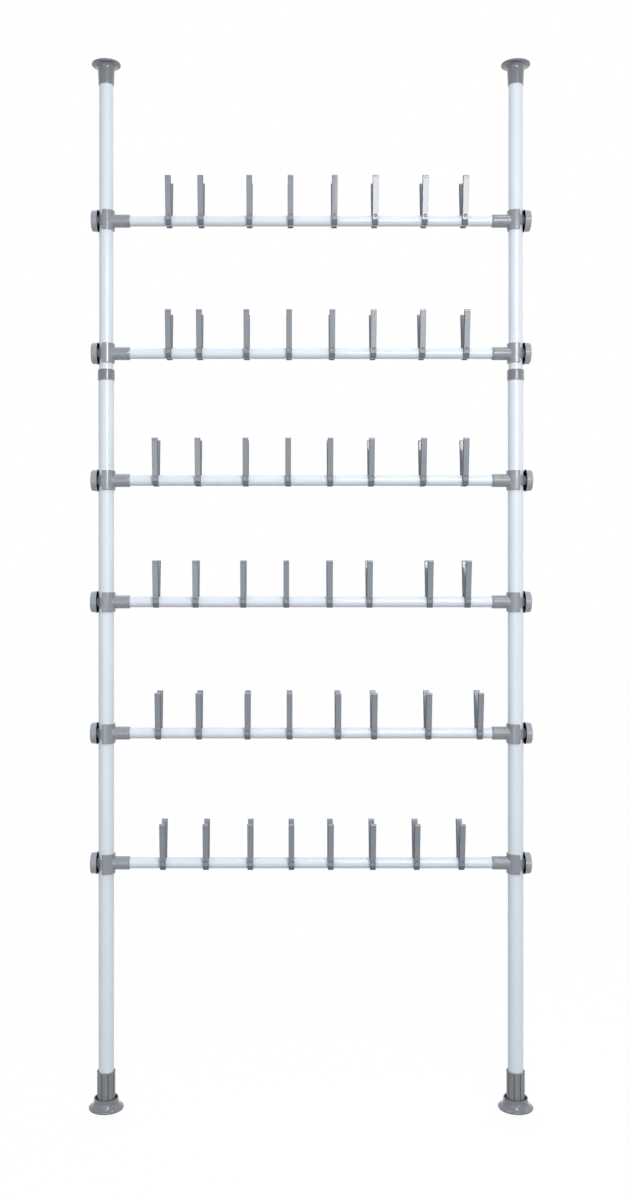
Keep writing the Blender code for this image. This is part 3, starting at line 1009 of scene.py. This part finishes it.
# 1 where the eye, a gloss or clear glass looks straight at it, else 0
def addSeenDirectly(material):
    rays = addNode(material, "ShaderNodeLightPath").outputs
    seen = rays["Is Camera Ray"]
    for other in ("Is Glossy Ray", "Is Transmission Ray"):
        links = {0: seen, 1: rays[other]}
        seen = addNode(material, "ShaderNodeMath", {"operation": "MAXIMUM"}, links).outputs[0]
    return seen


def makeFloor():
    clearSelection()
    bpy.ops.mesh.primitive_plane_add(size=stageLook["floorSize"], location=(0, 0, -stageLook["floorDrop"]))
    floor = bpy.context.object
    floor.name = "studio_floor"
    settle(floor)
    # Matt white studio paper, lit by the lamps; straight to the eye it is mostly its own white
    paper = newMaterial("whiteStudioPaper")
    seen = addSeenDirectly(paper)
    part = {"operation": "MULTIPLY", 1: stageLook["floorWhite"]}
    share = addNode(paper, "ShaderNodeMath", part, {0: seen})
    matt = addNode(paper, "ShaderNodeBsdfDiffuse", {"Color": linearColour(stageLook["floorTone"])})
    white = addNode(paper, "ShaderNodeEmission", {"Color": pureWhite, "Strength": stageLook["floorGlow"]})
    mixed = {0: share.outputs[0], 1: matt.outputs[0], 2: white.outputs[0]}
    both = addNode(paper, "ShaderNodeMixShader", {}, mixed)
    addNode(paper, "ShaderNodeOutputMaterial", {}, {"Surface": both.outputs[0]})
    floor.data.materials.append(paper)


def makeWorld():
    world = bpy.data.worlds.new("studioSurround")
    bpy.context.scene.world = world
    world.use_nodes = True
    world.node_tree.nodes.clear()
    seen = addSeenDirectly(world)
    soft = {"Color": linearColour(stageLook["ambientTone"]), "Strength": stageLook["ambientStrength"]}
    ambient = addNode(world, "ShaderNodeBackground", soft)
    white = addNode(world, "ShaderNodeBackground", {"Color": pureWhite, "Strength": 1.0})
    mixed = {0: seen, 1: ambient.outputs[0], 2: white.outputs[0]}
    both = addNode(world, "ShaderNodeMixShader", {}, mixed)
    addNode(world, "ShaderNodeOutputWorld", {}, {"Surface": both.outputs[0]})


makeFloor()
makeWorld()

# Lamps: place, aim, size across and up in metres, watts, tone

lamps = {
    "frontSoftbox": ((0.00, -3.20, 1.10), (0.00, 0.0, 1.00), 2.4, 2.4, 3.4, "#FFFFFF"),
    "frontHigh": ((0.00, -3.20, 2.00), (0.00, 0.0, 1.40), 2.4, 1.2, 5.0, "#FFFFFF"),
    "lowLeft": ((-0.90, -3.00, 0.50), (-0.30, 0.0, 0.60), 1.2, 1.0, 6.0, "#FFFFFF"),
    "keySoftbox": ((0.45, -1.95, 1.96), (0.20, 0.0, 1.50), 0.56, 0.88, 15.8, "#FFFFFF"),
    "keySkirt": ((0.45, -1.95, 1.28), (0.20, 0.0, 1.40), 0.56, 0.48, 2.2, "#FFFFFF"),
    "rightSide": ((2.20, -0.60, 1.40), (0.00, 0.0, 1.20), 0.8, 1.8, 2.4, "#FFFFFF"),
    "rightBack": ((2.20, 0.60, 1.60), (0.00, 0.0, 1.20), 0.8, 1.8, 4.4, "#FFFFFF"),
    "leftWide": ((-1.90, -2.40, 1.30), (0.00, 0.0, 1.20), 1.2, 1.8, 4.5, "#F2F6FF"),
    "backTop": ((0.00, 0.80, 3.20), (0.00, 0.0, 1.30), 1.5, 0.8, 8.0, "#FFFFFF"),
}


def makeLamp(name, place, aim, across, up, watts, tone):
    data = bpy.data.lights.new(name, "AREA")
    data.shape = "RECTANGLE"
    data.size = across
    data.size_y = up
    data.energy = watts
    data.color = linearColour(tone)[:3]
    lamp = bpy.data.objects.new(name, data)
    lamp.visible_camera = False
    lamp.location = place
    lamp.rotation_euler = (Vector(aim) - Vector(place)).to_track_quat("-Z", "Y").to_euler()
    bpy.context.scene.collection.objects.link(lamp)


for name, values in lamps.items():
    makeLamp(name, *values)

# Far lamps: degrees to the right, up and across, and strength; they draw a fine line along every tube
farLamps = {"farKey": (19.5, 10.0, 12.0, 0.30), "farTop": (10.0, 62.0, 14.0, 0.34)}


def makeFarLamp(name, right, up, across, strength):
    data = bpy.data.lights.new(name, "SUN")
    data.angle = math.radians(across)
    data.energy = strength
    lamp = bpy.data.objects.new(name, data)
    turn, rise = math.radians(right), math.radians(up)
    source = Vector((math.sin(turn) * math.cos(rise), -math.cos(turn) * math.cos(rise), math.sin(rise)))
    lamp.location = source * 4  # out of the rack's way; only its direction counts
    lamp.rotation_euler = (-source).to_track_quat("-Z", "Y").to_euler()
    bpy.context.scene.collection.objects.link(lamp)


for name, values in farLamps.items():
    makeFarLamp(name, *values)
print("stage: floor, surround and lamps set")

# Camera: level, a little left of the middle, its frame shifted to where the photograph's frame is

cameraLook = {
    "place": (-0.061, -2.578, 1.160),
    "lens": 35.97,
    "sensor": 36.0,
    "shiftX": 0.0262,
    "shiftY": -0.0267,
}
cameraData = bpy.data.cameras.new("catalogueView")
cameraData.sensor_fit = "VERTICAL"
cameraData.sensor_height = cameraLook["sensor"]
cameraData.lens = cameraLook["lens"]
cameraData.shift_x = cameraLook["shiftX"]
cameraData.shift_y = cameraLook["shiftY"]
camera = bpy.data.objects.new("catalogueView", cameraData)
camera.location = cameraLook["place"]
camera.rotation_euler = (math.radians(90), 0, 0)
bpy.context.scene.collection.objects.link(camera)
bpy.context.scene.camera = camera
bpy.context.scene.view_settings.view_transform = "Standard"
